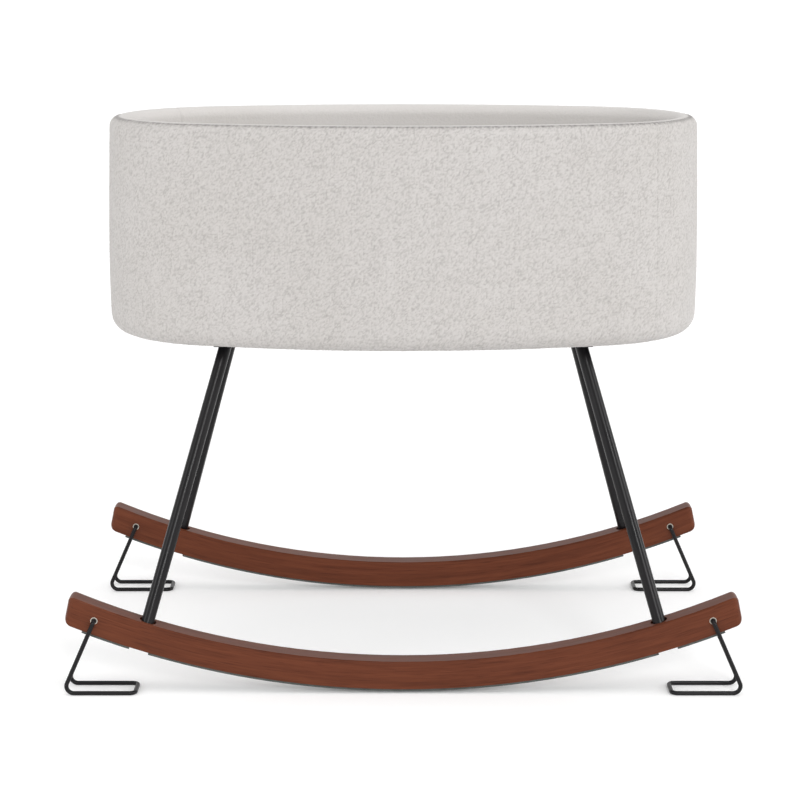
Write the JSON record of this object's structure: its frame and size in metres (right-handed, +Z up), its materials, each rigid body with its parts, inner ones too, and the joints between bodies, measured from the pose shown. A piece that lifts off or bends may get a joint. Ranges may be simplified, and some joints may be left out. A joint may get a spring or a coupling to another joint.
{
  "type": "bassinet on stand",
  "caption": "Oval padded bassinet basket on splayed round-tube legs and curved wooden rockers, with a fold-out wire kickstand at each rocker end.",
  "frame": {"origin": "on the floor under the middle of the basket, with the kickstands folded down", "axes": "+X along the basket's length, +Y across it from front to back, +Z up"},
  "size_m": [0.9394, 0.571, 0.781],
  "materials": {
    "boucle": "looped boucle, warm off-white",
    "lining": "smooth woven cotton over thin padding",
    "mattress_cloth": "plain woven cotton",
    "dust_cloth": "non-woven polypropylene",
    "foam": "open-cell foam",
    "plywood": "unfinished birch plywood",
    "rocker_wood": "reddish walnut stain under satin lacquer",
    "black_steel": "satin black powder coat",
    "black_plastic": "moulded black polyethylene",
    "bush_plastic": "natural nylon",
    "zinc_steel": "bright zinc plating",
    "grip_rubber": "matte dark grey rubber"
  },
  "bodies": {
    "frame": {"base_board": "plywood", "cross_rail_left": "black_steel", "cross_rail_right": "black_steel", "dust_cloth": "dust_cloth", "foot_bolts": "zinc_steel", "foot_inserts": "zinc_steel", "foot_washers": "zinc_steel", "grip_strip_back_left": "grip_rubber", "grip_strip_back_middle": "grip_rubber", "grip_strip_back_right": "grip_rubber", "grip_strip_front_left": "grip_rubber", "grip_strip_front_middle": "grip_rubber", "grip_strip_front_right": "grip_rubber", "inner_lining": "lining", "leg_back_left": "black_steel", "leg_back_right": "black_steel", "leg_front_left": "black_steel", "leg_front_right": "black_steel", "outer_cover": "boucle", "pivot_bush_back_left": "bush_plastic", "pivot_bush_back_right": "bush_plastic", "pivot_bush_front_left": "bush_plastic", "pivot_bush_front_right": "bush_plastic", "rail_bolts": "zinc_steel", "rail_end_caps": "black_plastic", "rail_washers": "zinc_steel", "rocker_back": "rocker_wood", "rocker_front": "rocker_wood", "tee_nuts": "zinc_steel", "wall_foam": "foam", "wall_hoop": "plywood"},
    "mattress": {"mattress_core": "foam", "mattress_cover": "mattress_cloth"},
    "kickstand_back_left": {"kickstand_back_left": "black_steel"},
    "kickstand_back_right": {"kickstand_back_right": "black_steel"},
    "kickstand_front_left": {"kickstand_front_left": "black_steel"},
    "kickstand_front_right": {"kickstand_front_right": "black_steel"}
  },
  "joints": [
    {"name": "kickstand_back_left_swing", "type": "hinge", "parent": "frame", "child": "kickstand_back_left", "pos_m": [-0.427, 0.26, 0.10525], "axis": [0, 1, 0], "range_deg": [0, 205]},
    {"name": "kickstand_back_right_swing", "type": "hinge", "parent": "frame", "child": "kickstand_back_right", "pos_m": [0.427, 0.26, 0.10525], "axis": [0, -1, 0], "range_deg": [0, 205]},
    {"name": "kickstand_front_left_swing", "type": "hinge", "parent": "frame", "child": "kickstand_front_left", "pos_m": [-0.427, -0.26, 0.10525], "axis": [0, 1, 0], "range_deg": [0, 205]},
    {"name": "kickstand_front_right_swing", "type": "hinge", "parent": "frame", "child": "kickstand_front_right", "pos_m": [0.427, -0.26, 0.10525], "axis": [0, -1, 0], "range_deg": [0, 205]},
    {"name": "mattress_lift", "type": "slide", "parent": "frame", "child": "mattress", "axis": [0, 0, 1], "range_m": [0, 0.3]}
  ]
}
